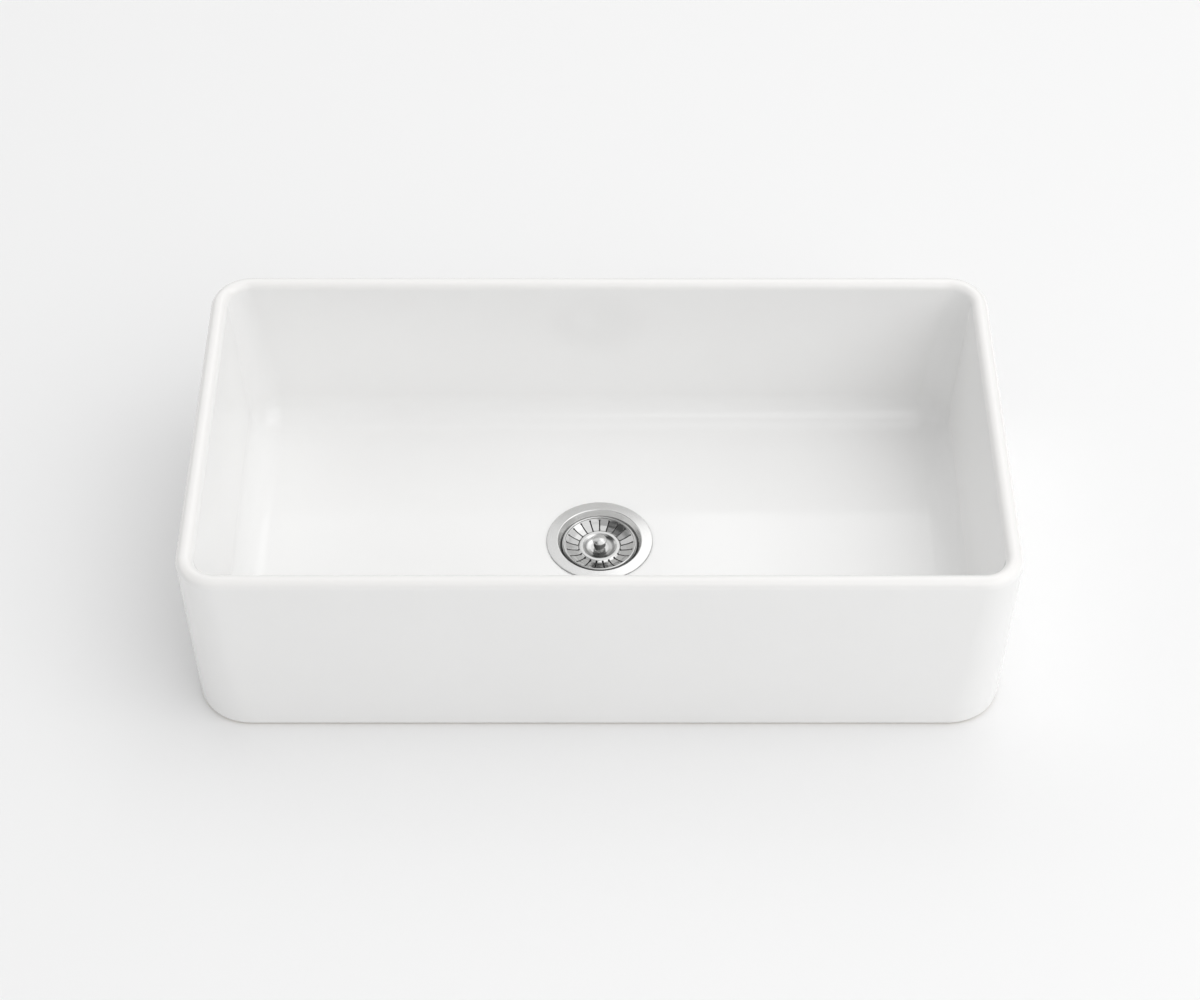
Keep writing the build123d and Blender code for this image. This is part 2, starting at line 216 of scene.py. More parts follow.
def level(plan, z, circle=1.0, share=0.0):
    """One row for the stack."""
    return np.array([[*plan, z, circle, share]])


def arc_levels(plan, centre_z, radius, start, stop, steps):
    """Levels along an arc of the section: the plan at the arc's centre, moved outward by the
    radius times the cosine and upward by the radius times the sine of the arc's angle."""
    angle = np.radians(np.linspace(start, stop, steps + 1))
    reach = radius * np.cos(angle)
    rows = np.zeros((steps + 1, 6))
    rows[:, :3] = np.asarray(plan) + reach[:, None]
    rows[:, 2] = np.maximum(rows[:, 2], SHARPEST_R)
    rows[:, 3] = centre_z + radius * np.sin(angle)
    rows[:, 4] = 1.0
    return rows


def spread(plan, z, circle, shares):
    """Levels of a flat face between a rounded rectangle and a circle."""
    return np.concatenate([level(plan, z, circle, share) for share in shares])


def arc_points(centre, radius, start, stop, steps):
    """Points (radius, height) along an arc of a section, between two angles in degrees."""
    angle = np.radians(np.linspace(start, stop, steps + 1))
    return np.stack([centre[0] + radius * np.cos(angle), centre[1] + radius * np.sin(angle)], 1)


def bore_levels(points):
    """Levels that are circles: the wall of the drain hole and its seat."""
    return np.array([[radius, radius, radius, z, radius, 1.0] for radius, z in points])


# %% The section, from the drain outward and back
inner_lean = np.degrees(INNER_DRAFT)
outer_lean = np.degrees(SIDE_DRAFT + FRONT_DRAFT) / 2
fillet_z = FLOOR_Z + FLOOR_FILLET_R
roll_z = HEIGHT - RIM_ROLL_R
recess = np.append(outer_wall(0)[:2] - FOOT_WIDTH, RECESS_CORNER_R)
fillet_plan = inner_wall(fillet_z) - FLOOR_FILLET_R / np.cos(INNER_DRAFT)
inner_roll = inner_wall(roll_z) + RIM_ROLL_R / np.cos(INNER_DRAFT)
outer_roll = outer_wall(roll_z) - RIM_ROLL_R
base_round = outer_wall(BASE_EDGE_R) - BASE_EDGE_R
wide_r = DRAIN_R + DRAIN_EDGE_R
floor_rim = np.maximum(fillet_plan, SHARPEST_R)

floor_part = spread(floor_rim, FLOOR_Z, wide_r, np.linspace(1, 0, 15)[:-1])
inside_part = np.concatenate([
    arc_levels(fillet_plan, fillet_z, FLOOR_FILLET_R, -90, -inner_lean, steps=28),
    *[level(inner_wall(z), z) for z in np.linspace(fillet_z, roll_z, 9)[1:-1]],
    arc_levels(inner_roll, roll_z, RIM_ROLL_R, 180 - inner_lean, 90, steps=18),
])
outside_part = np.concatenate([
    arc_levels(outer_roll, roll_z, RIM_ROLL_R, 90, -outer_lean, steps=18),
    *[level(outer_wall(z), z) for z in np.linspace(roll_z, BASE_EDGE_R, 12)[1:-1]],
    arc_levels(base_round, BASE_EDGE_R, BASE_EDGE_R, -outer_lean, -90, steps=8),
])
foot_part = np.concatenate([
    arc_levels(recess + FOOT_EDGE_R, FOOT_EDGE_R, FOOT_EDGE_R, 270, 180, steps=6),
    arc_levels(recess - ROOF_FILLET_R, ROOF_Z - ROOF_FILLET_R, ROOF_FILLET_R, 0, 90, steps=8),
    spread(recess - ROOF_FILLET_R, ROOF_Z, SEAT_R, np.linspace(0, 1, 10)[1:]),
])
hole_part = bore_levels([
    (SEAT_R, SEAT_Z),
    *arc_points((wide_r, SEAT_Z + DRAIN_EDGE_R), DRAIN_EDGE_R, -90, -180, steps=4),
    *arc_points((wide_r, FLOOR_Z - DRAIN_EDGE_R), DRAIN_EDGE_R, 180, 90, steps=4)[:-1],
])

# %% The basin's skin
basin_levels = np.concatenate([floor_part, inside_part, outside_part, foot_part, hole_part])
basin_path = plan_path(long_steps=48, short_steps=28, corner_steps=20)
print(f"basin: {len(basin_levels)} rings of {len(basin_path[0])} points")
basin = make_mesh("basin_skin", rings(basin_levels, basin_path), closed_rows=True)
stands_for(basin, "basin", "sink")

# %% [markdown]
# ## Turned and pressed metal
#
# Everything in the drain is turned or pressed round one axis, so its section says it all. A
# section is drawn as corners, each with its own round, the way a press tool is drawn: sheet metal
# never has a sharp bend, and it is the rounds that catch the light. The section is then carried
# round the axis. Blender's Spin or Screw would do the same, but here the corners stay numbers.

# %% A section from its corners, and a piece turned from it
def section(corners, step, closed=True, arc_steps=6):
    """Points (radius, height) along straights with rounded corners (radius, height, round).

    An arc begins and ends at the round times the tangent of half the turn from its corner, and
    its centre lies at the round over the cosine of half the turn, on the corner's inner side.
    Straights get a point at every step of their length."""
    corners = np.array(corners, float)
    parts = []
    for k, (radius, height, round_r) in enumerate(corners):
        here = np.array([radius, height])
        if round_r == 0:
            parts.append(here[None])
            continue
        back, onward = corners[k - 1, :2] - here, corners[(k + 1) % len(corners), :2] - here
        back, onward = back / np.linalg.norm(back), onward / np.linalg.norm(onward)
        inward = (back + onward) / np.linalg.norm(back + onward)
        travel = (onward - back) / np.linalg.norm(onward - back)
        half_turn = (np.pi - np.arccos(np.clip(back @ onward, -1, 1))) / 2
        centre = here + inward * round_r / np.cos(half_turn)
        turn = np.linspace(-half_turn, half_turn, arc_steps + 1)[:, None]
        parts.append(centre + round_r * (np.sin(turn) * travel - np.cos(turn) * inward))
    line = np.concatenate(parts + [parts[0][:1]] * closed)
    length = np.append(0, np.cumsum(np.linalg.norm(np.diff(line, axis=0), axis=1)))
    stations = np.unique(np.round(np.append(length, np.arange(0, length[-1], step)), 3))
    line = np.stack([np.interp(stations, length, column) for column in line.T], 1)
    return line[:-1] if closed else line


def turned(name, line, sides=168, closed=True, cut=None):
    """A section carried round the axis: x is the radius times the cosine of the turn, y the
    radius times its sine. A cut takes depth off the radius, by height and turn, for a thread."""
    turn = np.arange(sides) * 2 * np.pi / sides
    radius = np.repeat(line[:, :1], sides, 1)
    height = np.repeat(line[:, 1:], sides, 1)
    if cut:
        radius = radius - cut(radius, height, turn)
    grid = np.stack([radius * np.cos(turn), radius * np.sin(turn), height], -1)
    return make_mesh(name, grid, closed_rows=closed)


# %% [markdown]
# ### The strainer body
#
# One pressed shell: the flange that shows in the bowl, the throat inside it, a ledge for the
# basket's rim, and the cup below with the threaded outlet. The flange falls away slightly from
# the throat to its rim, as real ones do. It is only half a millimetre, but it turns a flat grey
# ring into one that is bright on the side of the light and dark on the other. The threads are
# ridges in the mesh, because a bump would leave their outline smooth.

# %% The strainer's section
FLANGE_R, FLANGE_TOP, FLANGE_UNDER, LIP_Z = 57.0, 38.0, 36.8, 36.25
FLANGE_FALL, SHEET = 0.5, 1.2
THROAT_R, THROAT_FOOT_R, LEDGE_Z = 45.2, 40.5, 31.2
CUP_R, CUP_FLOOR_Z = 36.6, 13.4
OUTLET_R, OUTLET_END_Z, THREAD_R = 20.6, 0.8, 23.9

strainer_line = section([
    (OUTLET_R, OUTLET_END_Z, 0.3),
    (OUTLET_R, CUP_FLOOR_Z, 0.8),
    (CUP_R, CUP_FLOOR_Z, 2.0),
    (CUP_R, LEDGE_Z, 0.8),
    (THROAT_FOOT_R, LEDGE_Z, 1.2),
    (THROAT_R, FLANGE_TOP, 1.2),
    (FLANGE_R, FLANGE_TOP - FLANGE_FALL, 0.7),
    (FLANGE_R, LIP_Z, 0.2),
    (FLANGE_R - SHEET, LIP_Z, 0.2),
    (FLANGE_R - SHEET, FLANGE_UNDER, 0.3),
    (THROAT_R + SHEET, FLANGE_UNDER, 1.0),
    (THROAT_FOOT_R + SHEET, LEDGE_Z - SHEET, 0.8),
    (CUP_R + SHEET, LEDGE_Z - SHEET, 0.6),
    (CUP_R + SHEET, CUP_FLOOR_Z - SHEET, 2.0),
    (THREAD_R, CUP_FLOOR_Z - SHEET, 0.4),
    (THREAD_R, OUTLET_END_Z, 0.6),
], step=0.4)

# %% Its threads
THREAD_PITCH, THREAD_DEPTH = 2.3, 0.7
THREAD_LOW_Z, THREAD_HIGH_Z, THREAD_FADE = 1.6, 27.0, 1.5
WALL_REACH = 0.1


def thread(radius, height, turn):
    """Depth of the threads on the outlet and the cup: a ridge at every pitch that climbs one pitch
    in a turn, faded out at both ends of the threaded length."""
    climb = height / THREAD_PITCH - turn / (2 * np.pi)
    ridge = 1 - np.abs(2 * (climb % 1) - 1)
    on_outlet = np.abs(radius - THREAD_R) < WALL_REACH
    on_cup = np.abs(radius - (CUP_R + SHEET)) < WALL_REACH
    to_end = np.minimum(height - THREAD_LOW_Z, THREAD_HIGH_Z - height)
    fade = np.clip(to_end / THREAD_FADE, 0, 1)
    return THREAD_DEPTH * ridge * fade * (on_outlet | on_cup)


strainer = turned("strainer_shell", strainer_line, cut=thread)
stands_for(strainer, "strainer_body", "sink")

# %% [markdown]
# ### The basket
#
# The basket is one disc of sheet, slit and pressed: a narrow rim, a dish that falls towards the
# middle, a raised ring, and a recess for the knob. Between two slots the sheet is a leaf, and its
# edges follow the slot. So each leaf is its own grid: rows along the section, columns from one
# slot's edge to the next. Outside the slots neighbouring leaves share their edge and are welded.
# A cut leaf springs nearly flat across, so between the slot's ends each row is drawn towards the
# chord between its two edges. That is why each leaf mirrors the room in a tone of its own.
# A Boolean cut would leave long thin faces that show in the polish. Solidify then gives the
# sheet its thickness, and Bevel breaks its edges.

# %% The sheet's section and its slots
SHEET_CORNERS = [
    (3.05, 26.3, 0), (10.0, 26.3, 9.0), (15.4, 27.2, 8.0), (18.4, 28.9, 1.2), (21.6, 28.9, 1.2),
    (23.6, 27.4, 0.8), (30.4, 29.3, 16.0), (36.9, 32.5, 1.0), (38.3, 32.5, 0),
]
SLOTS, SLIT_HALF_WIDTH, SLOT_END_R = 21, 0.62, 1.05
SLOT_INNER_R, SLOT_OUTER_R = 22.0, 36.4

sheet_line = section(SHEET_CORNERS, step=0.8, closed=False)
slot_ends = SLOT_END_R * (1 - np.cos(np.radians(np.linspace(0, 180, 13))))
sheet_r = np.unique(np.round(np.concatenate([
    sheet_line[:, 0], SLOT_INNER_R + slot_ends, SLOT_OUTER_R - slot_ends,
]), 3))
sheet_z = np.interp(sheet_r, *sheet_line.T)


def slot_half_width(radius):
    """Half the slot's width: a slit of even width between two punched round holes. Inside a hole
    it is the hole's half chord: the root of its radius squared less the distance from its
    centre squared."""
    first, last = SLOT_INNER_R + SLOT_END_R, SLOT_OUTER_R - SLOT_END_R
    slit = np.where((radius > first) & (radius < last), SLIT_HALF_WIDTH, 0)
    off_centre = np.minimum(np.abs(radius - first), np.abs(radius - last))
    return np.maximum(slit, np.sqrt(np.maximum(0, SLOT_END_R**2 - off_centre**2)))


print(f"{SLOTS} slots, {SLOT_OUTER_R - SLOT_INNER_R:.1f} mm long, in {len(sheet_r)} rows of sheet")

# %% The leaves
LEAF_COLUMNS = 9
pitch = 2 * np.pi / SLOTS
slot_turn = np.pi / 2 + pitch * np.arange(SLOTS)[:, None, None]
half_gap = np.arcsin(slot_half_width(sheet_r) / sheet_r)[None, :, None]
across = np.linspace(0, 1, LEAF_COLUMNS)[None, None, :]
leaf_turn = slot_turn + half_gap + across * (pitch - 2 * half_gap)
leaf_r = np.broadcast_to(sheet_r[None, :, None], leaf_turn.shape)
leaf_z = np.broadcast_to(sheet_z[None, :, None], leaf_turn.shape)
leaves = np.stack([leaf_r * np.cos(leaf_turn), leaf_r * np.sin(leaf_turn), leaf_z], -1)
chords = leaves[:, :, :1] + across[..., None] * (leaves[:, :, -1:] - leaves[:, :, :1])
from_slot_end = np.minimum(sheet_r - SLOT_INNER_R, SLOT_OUTER_R - sheet_r)
flatness = np.clip(from_slot_end / (2 * SLOT_END_R), 0, 1)[None, :, None, None]
leaves = leaves + flatness * (chords - leaves)
sheet = make_mesh("basket_sheet", leaves, closed_columns=False, own_normals=False)

# %% The sheet's thickness and its broken edges
BASKET_SHEET, EDGE_BREAK = 0.8, 0.12

thicken = sheet.modifiers.new("thickness", "SOLIDIFY")
thicken.thickness = BASKET_SHEET * MM
thicken.offset = -1
thicken.use_even_offset = True
soften = sheet.modifiers.new("broken_edges", "BEVEL")
soften.width = EDGE_BREAK * MM
soften.segments = 2
soften.limit_method = "ANGLE"
soften.angle_limit = np.radians(50)
soften.harden_normals = True
stands_for(sheet, "basket_bowl", "basket")
print(f"sheet {BASKET_SHEET} mm thick, edges broken by {EDGE_BREAK} mm")

# %% [markdown]
# The sheet's rim is rolled over into a bead, which hides the cut edge and rests on the ledge.

# %% The rolled bead
BEAD_R, BEAD_MID_R, BEAD_Z = 1.0, 38.3, 32.9
bead_line = arc_points((BEAD_MID_R, BEAD_Z), BEAD_R, 180, -180, steps=24)[:-1]
bead = turned("basket_bead", bead_line)
stands_for(bead, "basket_bowl", "basket")

# %% [markdown]
# ### The knob
#
# A small turned piece: a bulb for a foot, a neck for the fingertips and a cap with a slight dome.
# Its section starts on the axis at the dome and ends on the axis in the socket for the post, so
# the surface closes itself at two poles.

# %% The knob
KNOB_LOW_Z, KNOB_TOP_Z = 26.3, 39.7
KNOB_CAP_R, KNOB_CAP_LOW_Z, KNOB_DOME_Z = 7.6, 36.9, 38.3
KNOB_NECK_R, KNOB_NECK_Z = 4.9, 35.4
KNOB_BULB_R, KNOB_BULB_Z, KNOB_FOOT_R = 6.7, 30.6, 5.4
SOCKET_R, SOCKET_Z = 3.05, 33.3

dome_height = KNOB_TOP_Z - KNOB_DOME_Z
dome_r = (KNOB_CAP_R**2 + dome_height**2) / (2 * dome_height)
dome_edge = np.degrees(np.arccos(KNOB_CAP_R / dome_r))
dome = arc_points((0, KNOB_TOP_Z - dome_r), dome_r, 90, dome_edge, steps=8)[:-1]
dome[0, 0] = 0
knob_line = section([
    *[(radius, height, 0) for radius, height in dome],
    (KNOB_CAP_R, KNOB_DOME_Z, 0.5),
    (KNOB_CAP_R, KNOB_CAP_LOW_Z, 0.5),
    (KNOB_NECK_R, KNOB_NECK_Z, 1.2),
    (KNOB_BULB_R, KNOB_BULB_Z, 2.8),
    (KNOB_FOOT_R, KNOB_LOW_Z, 0.3),
    (SOCKET_R, KNOB_LOW_Z, 0.2),
    (SOCKET_R, SOCKET_Z, 0),
    (0, SOCKET_Z, 0),
], step=0.4, closed=False, arc_steps=10)
knob = turned("turned_knob", knob_line, sides=96, closed=False)
stands_for(knob, "basket_knob", "basket")

# %% [markdown]
# ## Finishes
#
# A finish is one Principled shader with a few patterns that drive its colour, roughness and
# bump. The patterns are sums and products of numbers, so they are written as such: `Wire` wraps
# a socket, and Python's own operators add the Math nodes.

# %% Shader maths
class Wire:
    """A number on its way through a node tree. Arithmetic on it adds Math nodes to the tree."""

    def __init__(self, nodes, socket):
        self.nodes, self.socket = nodes, socket

    def maths(self, operation, *values):
        """A Math node with those values or wires in its sockets."""
        return self.nodes.node("Math", {"operation": operation}, dict(enumerate(values)))

    def __add__(self, other):
        return self.maths("ADD", self, other)

    def __sub__(self, other):
        return self.maths("SUBTRACT", self, other)

    def __rsub__(self, other):
        return self.maths("SUBTRACT", other, self)

    def __mul__(self, other):
        return self.maths("MULTIPLY", self, other)

    def __pow__(self, other):
        return self.maths("POWER", self, other)

    __radd__, __rmul__ = __add__, __mul__


# %% A tree of nodes, and a finish
class Nodes:
    """A node tree with the few kinds of node that the finishes and the studio are made of."""

    # The Mix node has sockets for numbers, vectors and colours. These are those for colours.
    MIX_FIRST, MIX_SECOND, MIX_RESULT = 6, 7, 2

    def __init__(self, tree):
        self.tree = tree

    def node(self, kind, settings=None, sockets=None, output=0):
        """Any other node: its settings first, then a value or a link for each socket."""
        node = self.tree.nodes.new("ShaderNode" + kind)
        for key, value in (settings or {}).items():
            setattr(node, key, value)
        for key, value in (sockets or {}).items():
            if isinstance(value, Wire):
                self.tree.links.new(value.socket, node.inputs[key])
            else:
                node.inputs[key].default_value = value
        return Wire(self, node.outputs[output])

    def axes(self, place):
        """The three numbers of a place or a direction."""
        return [self.node("SeparateXYZ", sockets={0: place}, output=axis) for axis in "XYZ"]

    def point(self, x, y, z):
        """A place made of three numbers."""
        return self.node("CombineXYZ", sockets={0: x, 1: y, 2: z})

    def ease(self, value, low, high):
        """0 below low, 1 above high, and a smooth rise between them."""
        settings = {"interpolation_type": "SMOOTHSTEP"}
        sockets = {"Value": value, "From Min": low, "From Max": high}
        return self.node("MapRange", settings, sockets)

    def blend(self, share, first, second):
        """A colour between two, by a share from 0 to 1."""
        sockets = {"Factor": share, self.MIX_FIRST: first, self.MIX_SECOND: second}
        return self.node("Mix", {"data_type": "RGBA"}, sockets, output=self.MIX_RESULT)


class Finish(Nodes):
    """A material: its Principled shader, the place on the piece in metres, and its patterns."""

    def __init__(self, name, **constants):
        self.material = bpy.data.materials.new(name)
        self.material.use_nodes = True
        super().__init__(self.material.node_tree)
        self.shader = self.tree.nodes["Principled BSDF"]
        for socket, value in constants.items():
            self.shader.inputs[socket.replace("_", " ")].default_value = value
        self.place = self.node("TexCoord", output="Object")
        self.x, self.y, self.z = self.axes(self.place)
        self.from_axis = (self.x**2 + self.y**2) ** 0.5

    def noise(self, scale, detail=2.0, at=None):
        """Cloudy pattern between 0 and 1, with so many features to the metre."""
        at = at or self.place
        return self.node("TexNoise", sockets={"Vector": at, "Scale": scale, "Detail": detail})

    def past(self, distance, start, width):
        """1 where a distance is past the start by the width or more, 0 where it is short of it."""
        return self.ease(distance, start * MM, (start + width) * MM)

    def short_of(self, distance, end, width):
        """1 where a distance is short of the end by the width or more, 0 where it is past it."""
        return self.ease(end * MM - distance, 0.0, width * MM)

    def drive(self, socket, wire):
        """The wire feeds that socket of the shader."""
        self.tree.links.new(wire.socket, self.shader.inputs[socket])

    def relief(self, height, depth):
        """The surface seems to rise by the depth, in millimetres, where the height is 1."""
        sockets = {"Height": height, "Distance": depth * MM, "Strength": 1.0}
        self.drive("Normal", self.node("Bump", sockets=sockets))

    def wear_on(self, *pieces):
        """The finish goes on these pieces: into the slots they have, or as their first."""
        for piece in pieces:
            if not piece.material_slots:
                piece.data.materials.append(None)
            for slot in piece.material_slots:
                slot.material = self.material
        print(self.material.name, "on", ", ".join(piece.name for piece in pieces))


# %% [markdown]
# ### Glaze
#
# Fireclay is dipped or sprayed with a thick white glaze and fired. It ends up very smooth, with
# a long wave of at most a tenth of a millimetre where it flowed, and an orange peel that is finer
# and several times lower. It thins over the rolled rim, where the warmer body shows through. The
# underside stays bare, because that is what the sink stands on in the kiln. An image of glaze
# would repeat over so large a piece, and noise in three dimensions has no seam.

# %% The glaze
def colour(red, green, blue):
    """An opaque colour, in linear light."""
    return (red, green, blue, 1.0)


glaze_white, glaze_bright = colour(0.87, 0.868, 0.862), colour(0.89, 0.889, 0.884)
thin_glaze = colour(0.87, 0.855, 0.835)
clay, pale_clay = colour(0.62, 0.56, 0.48), colour(0.72, 0.67, 0.6)

glaze = Finish("white_glaze", IOR=1.5)
rim_share = glaze.past(glaze.z, HEIGHT - 9.5, 9.0)
white = glaze.blend(glaze.noise(9.0), glaze_white, glaze_bright)
white = glaze.blend(rim_share * 0.5, white, thin_glaze)

facing = glaze.node("TexCoord", output="Normal")
down = glaze.axes(facing)[2] * -1
bare = glaze.ease(down, 0.45, 0.75)
grain = glaze.noise(700.0, 4.0)
biscuit = glaze.blend(grain, clay, pale_clay)

glaze.drive("Base Color", glaze.blend(bare, white, biscuit))
glaze.drive("Roughness", 0.06 + 0.03 * glaze.noise(30.0) + 0.6 * bare)
wave = glaze.noise(8.0, 0.5) * 2.0
peel = glaze.noise(110.0, 1.0) * 0.3
glaze.relief(wave + peel + bare * grain * 2.0, 0.05)
glaze.wear_on(basin)

# %% [markdown]
# ### Spun and pressed steel
#
# A flange is finished on a lathe, and the cut leaves rings a few tenths of a millimetre apart.
# They are a noise stretched round the axis: its place is (distance from the axis, height), so it
# hardly changes all the way round, and changes fast across the rings. In a groove, a neck or a
# hollow bend the colour is painted darker, as painted shade, and the roughness is a little higher.

# %% Steel
RING_DRIFT = 1.5
# The first number varies the rings' tone at random. The second is the brightness that painted
# shade leaves, the third the roughness it adds.
WORN_TINT, PAINTED_SHADE_TINT, PAINTED_SHADE_ROUGHNESS = 0.9, 0.3, 0.1


def spun_rings(finish, per_metre):
    """Fine rings round the axis, from a noise that drifts a little with the turn."""
    turn = finish.node("Math", {"operation": "ARCTAN2"}, {0: finish.y, 1: finish.x})
    at = finish.point(finish.from_axis * per_metre, turn * RING_DRIFT, finish.z * per_metre)
    return finish.noise(1.0, 3.0, at=at)


def shade(tint, share):
    """The colour of a metal that keeps that share of its tint."""
    return colour(*[share * part for part in tint])


def spun_metal(name, tint, roughness, spread, per_metre, depth, painted_shade=None):
    """Metal finished on a lathe: so many rings to the metre, of that depth in millimetres.

    The rings also spread its roughness and, faintly, its colour. The last argument gives the
    share,
    from 0 to 1, of painted shade: the colour is made darker where the piece falls into shade.
    There the metal keeps under a third of its brightness and is rougher."""
    finish = Finish(name, Metallic=1.0)
    lines = spun_rings(finish, per_metre)
    smear = finish.noise(120.0, 2.0)
    shine = finish.blend(0.5 * lines + 0.5 * smear, shade(tint, WORN_TINT), shade(tint, 1.0))
    rough = roughness + spread * lines + spread * smear
    # Painted shade: the colour darkens by the given share where the piece falls into shade.
    if painted_shade:
        share = painted_shade(finish)
        shine = finish.blend(share, shine, shade(tint, PAINTED_SHADE_TINT))
        rough = rough + PAINTED_SHADE_ROUGHNESS * share
    finish.drive("Base Color", shine)
    finish.drive("Roughness", rough)
    finish.relief(lines + 0.4 * smear, depth)
    return finish


def flange_foot_and_groove_shade(steel):
    """Painted shade on the flange's lower edge outside, and at the bottom of the groove that the
    basket sits in.
    """
    foot = steel.past(steel.from_axis, FLANGE_R - 0.8, 0.6)
    foot = foot * steel.short_of(steel.z, FLANGE_TOP - 0.7, 0.6)
    groove = steel.past(steel.from_axis, CUP_R - 0.6, 1.5)
    groove = groove * steel.short_of(steel.z, LEDGE_Z + 1.0, 1.0)
    return foot + 0.55 * groove * steel.short_of(steel.from_axis, THROAT_FOOT_R + 2.0, 1.0)


def recess_corner_shade(metal):
    """Painted shade in the hollow bend where the recess turns up to the raised ring."""
    outward = metal.past(metal.from_axis, 12.5, 2.0)
    return 0.6 * outward * metal.short_of(metal.from_axis, 17.2, 1.5)


def knob_neck_shade(metal):
    """Painted shade on the neck under the cap."""
    return metal.short_of(metal.z, 36.2, 1.5) * metal.past(metal.z, 27.5, 2.0)


# Each finish below gets painted shade in its own hollow places.
spun_steel = spun_metal(
    "spun_steel", (0.66, 0.66, 0.655), roughness=0.12, spread=0.08, per_metre=2400.0,
    depth=0.003, painted_shade=flange_foot_and_groove_shade,
)
basket_polish = spun_metal(
    "basket_polish", (0.56, 0.56, 0.555), roughness=0.08, spread=0.06, per_metre=1800.0,
    depth=0.003, painted_shade=recess_corner_shade,
)
knob_polish = spun_metal(
    "knob_polish", (0.6, 0.6, 0.595), roughness=0.1, spread=0.08, per_metre=2600.0,
    depth=0.003, painted_shade=knob_neck_shade,
)
spun_steel.wear_on(strainer)
basket_polish.wear_on(sheet, bead)
knob_polish.wear_on(knob)

# %% [markdown]
# ### The parts below
#
# The CAD solids of the clamp, the crossbar and the stopper already have their true shape, so
# they stay, and only get their finish: plain steel, turned brass, a cast nut, black rubber, white
# foam and a plastic washer.

# %% Finishes for the CAD pieces
def on_nodes(finish, *names):
    """The finish goes on CAD nodes."""
    finish.wear_on(*[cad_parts[name] for name in names])


def moulded(name, low, high, roughness, per_metre, depth, **constants):
    """A moulded or cast piece: two colours and relief from one grain, with so many features to
    the metre and that depth in millimetres. Larger patches change its colour and roughness."""
    finish = Finish(name, **constants)
    grain, patches = finish.noise(per_metre, 4.0), finish.noise(90.0, 2.0)
    finish.drive("Base Color", finish.blend(0.5 * grain + 0.5 * patches, low, high))
    finish.drive("Roughness", roughness + 0.15 * patches)
    finish.relief(grain, depth)
    return finish


inner_steel = spun_metal(
    "plain_steel", (0.55, 0.55, 0.545), roughness=0.25, spread=0.1, per_metre=1500.0, depth=0.004
)
brass = spun_metal(
    "turned_brass", (0.72, 0.56, 0.3), roughness=0.18, spread=0.1, per_metre=3000.0, depth=0.003
)
cast = moulded(
    "cast_nut", colour(0.42, 0.42, 0.43), colour(0.6, 0.6, 0.61),
    roughness=0.4, per_metre=1100.0, depth=0.05, Metallic=0.9,
)
rubber = moulded(
    "black_rubber", colour(0.02, 0.02, 0.021), colour(0.05, 0.05, 0.052),
    roughness=0.6, per_metre=900.0, depth=0.03,
)
foam = moulded(
    "white_foam", colour(0.62, 0.62, 0.6), colour(0.8, 0.8, 0.78),
    roughness=0.8, per_metre=2200.0, depth=0.1,
)
washer = moulded(
    "milky_plastic", colour(0.7, 0.7, 0.67), colour(0.82, 0.82, 0.8),
    roughness=0.35, per_metre=300.0, depth=0.01,
)
on_nodes(inner_steel, "strainer_crossbar", "stem_nut", "seal_washer")
on_nodes(brass, "basket_post")
on_nodes(cast, "locknut")
on_nodes(rubber, "under_gasket", "stopper_seal", "post_oring")
on_nodes(foam, "flange_seal")
on_nodes(washer, "friction_washer")

# %% [markdown]
# ## Floor, light and camera
#
# White on white is told by light alone. The floor is matt paper, so the sink's own soft shadow
# draws its outline. The paper also glows a little, as paper lit from all round does.

# %% The floor
FLOOR_REACH = 16.0
corners = [(-1, -1), (1, -1), (1, 1), (-1, 1)]
floor_points = [(x * FLOOR_REACH, y * FLOOR_REACH, 0) for x, y in corners]
floor_mesh = bpy.data.meshes.new("studio_floor")
floor_mesh.from_pydata(floor_points, [], [(0, 1, 2, 3)])
floor = bpy.data.objects.new("studio_floor", floor_mesh)
bpy.context.scene.collection.objects.link(floor)
paper = Finish(
    "pale_paper", Roughness=1.0, Specular_IOR_Level=0.0,
    Emission_Color=colour(1.0, 1.0, 1.0), Emission_Strength=0.03,
)
pale, paler = colour(0.845, 0.845, 0.845), colour(0.855, 0.855, 0.855)
paper.drive("Base Color", paper.blend(paper.noise(400.0), pale, paler))
paper.wear_on(floor)

# %% [markdown]
# The main light is a large soft box in front on the right. Weaker ones stand right, left and
# behind, and one hangs overhead. Each is written as the angle it fills and its brightness from
# the sink, so a light can be moved further away without getting weaker. Two stand nearer than
# the rest, and their light fades with distance: a low strip in front, for the apron and the floor
# before it, and a wide one behind on the right, for the right side of the bowl and the floor.

# %% The light
def bearing_of(azimuth, elevation):
    """The unit direction at that bearing and rise, in degrees."""
    turn, rise = np.radians([azimuth, elevation])
    return Vector((np.cos(rise) * np.cos(turn), np.cos(rise) * np.sin(turn), np.sin(rise)))


def softbox(name, azimuth, elevation, wide, high, radiance, distance=8.0):
    """A rectangular area light that faces the sink from that bearing, in degrees.

    Its sides are twice the distance times the tangent of half the angle it fills, and its power is
    pi times its area times the radiance, which is what the sink sees of it."""
    width, height = 2 * distance * np.tan(np.radians([wide, high]) / 2)
    light = bpy.data.lights.new(name, "AREA")
    light.shape = "RECTANGLE"
    light.size, light.size_y = width, height
    light.energy = np.pi * width * height * radiance
    lamp = bpy.data.objects.new(name, light)
    lamp.location = bearing_of(azimuth, elevation) * distance
    lamp.rotation_euler = lamp.location.to_track_quat("Z", "Y").to_euler()
    bpy.context.scene.collection.objects.link(lamp)
    print(f"{name}: {width:.1f} x {height:.1f} m, {light.energy:.1f} W")


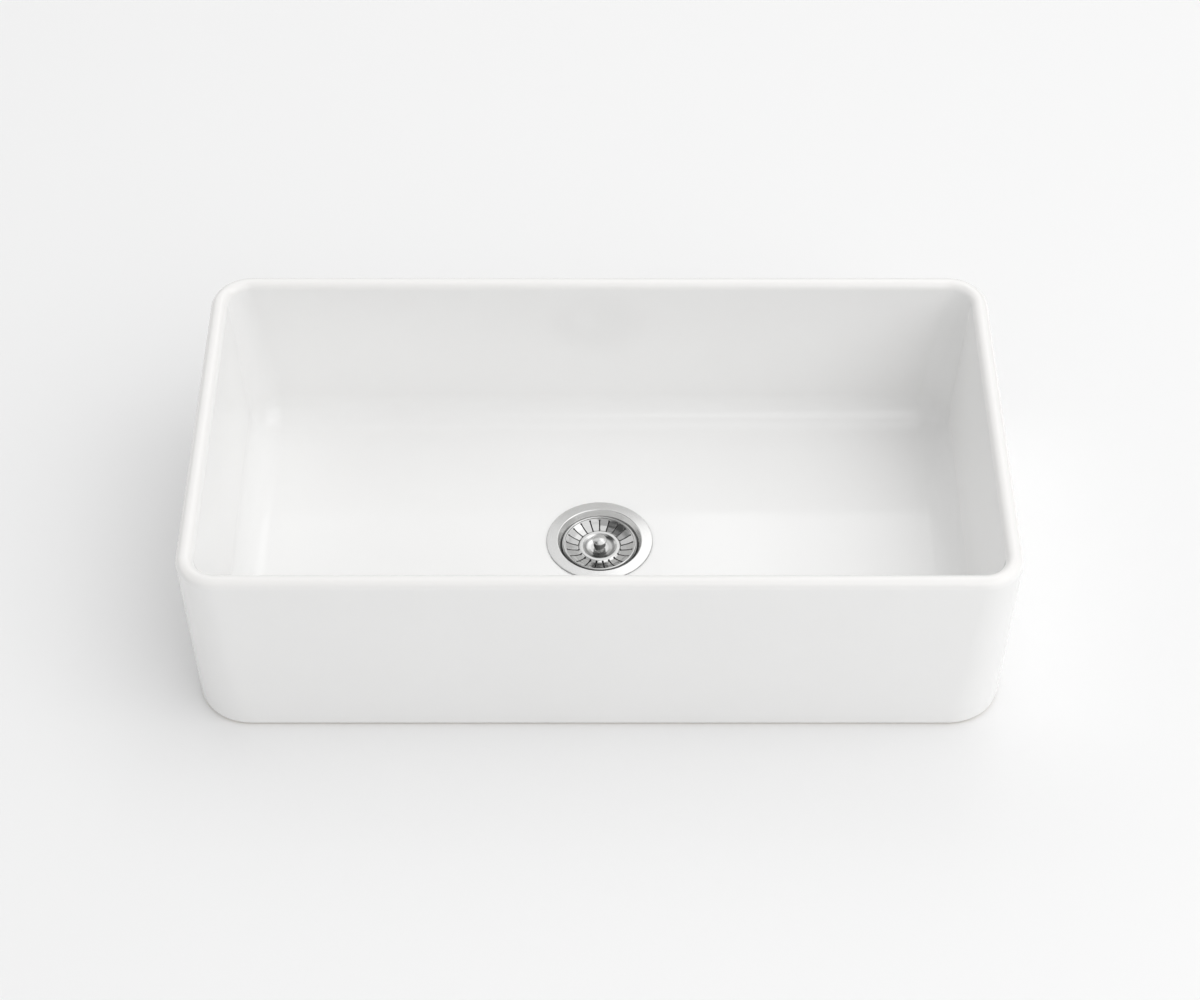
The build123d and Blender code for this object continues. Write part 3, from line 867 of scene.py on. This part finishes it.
softbox("right_front", 316, 44, 56, 50, 1.05)
softbox("right", 0, 42, 28, 46, 0.31)
softbox("back_right", 75, 46, 16, 30, 0.57)
softbox("back_left", 118, 42, 46, 40, 0.37)
softbox("left", 180, 30, 60, 26, 0.38)
softbox("overhead", 35, 72, 44, 36, 0.62)
softbox("front_strip", 320, 16, 52, 22, 0.36, distance=1.9)
softbox("near_right", 36, 50, 70, 30, 0.42, distance=4.0)

# %% [markdown]
# White glaze hardly shows the room, but the polished drain mirrors all of it. So the studio is
# not one even white: its walls get darker towards the floor, and one patch of the ceiling, high
# on the left, is left unlit. That patch is what makes some leaves of the basket nearly black. How
# near a direction is to it is the dot product of the two, which is the cosine of the angle between
# them. An image of a room would do the same, but here each tone stays a number.

# %% The studio around it
low_wall, high_wall, unlit = [colour(grey, grey, grey) for grey in (0.3, 0.69, 0.1)]
unlit_patch = bearing_of(158, 60)

world = bpy.data.worlds.new("studio")
world.use_nodes = True
studio = Nodes(world.node_tree)
outward = studio.node("TexCoord", output="Generated")
upward = studio.axes(outward)[2]
walls = studio.blend(studio.ease(upward, 0.1, 0.45), low_wall, high_wall)
directions = {0: outward, 1: unlit_patch}
nearness = studio.node("VectorMath", {"operation": "DOT_PRODUCT"}, directions, output="Value")
walls = studio.blend(studio.ease(nearness, 0.925, 0.975), walls, unlit)
backdrop = world.node_tree.nodes["Background"]
world.node_tree.links.new(walls.socket, backdrop.inputs["Color"])
bpy.context.scene.world = world
print("studio: dark low, light high, unlit towards", np.round(unlit_patch, 2))

# %% [markdown]
# The camera stands in front of the sink and looks down into it. Its place and tilt could be set
# by eye, but they were worked out from the lines of the rim and the walls and from the ellipse
# of the drain, which gave the sink's proportions as well. The Standard view keeps white as
# white, where a filmic one would make it grey.

# %% The camera
CAMERA_PLACE, CAMERA_TILT, CAMERA_LENS = (0.00043, -2.0941, 2.2559), 44.16, 85.0
camera_data = bpy.data.cameras.new("camera")
camera_data.lens = CAMERA_LENS
camera = bpy.data.objects.new("camera", camera_data)
camera.location = CAMERA_PLACE
camera.rotation_euler = (np.radians(CAMERA_TILT), 0, 0)
bpy.context.scene.collection.objects.link(camera)
bpy.context.scene.camera = camera
bpy.context.scene.view_settings.view_transform = "Standard"
print(f"camera: {CAMERA_LENS} mm lens, tilted {CAMERA_TILT} degrees from straight down")
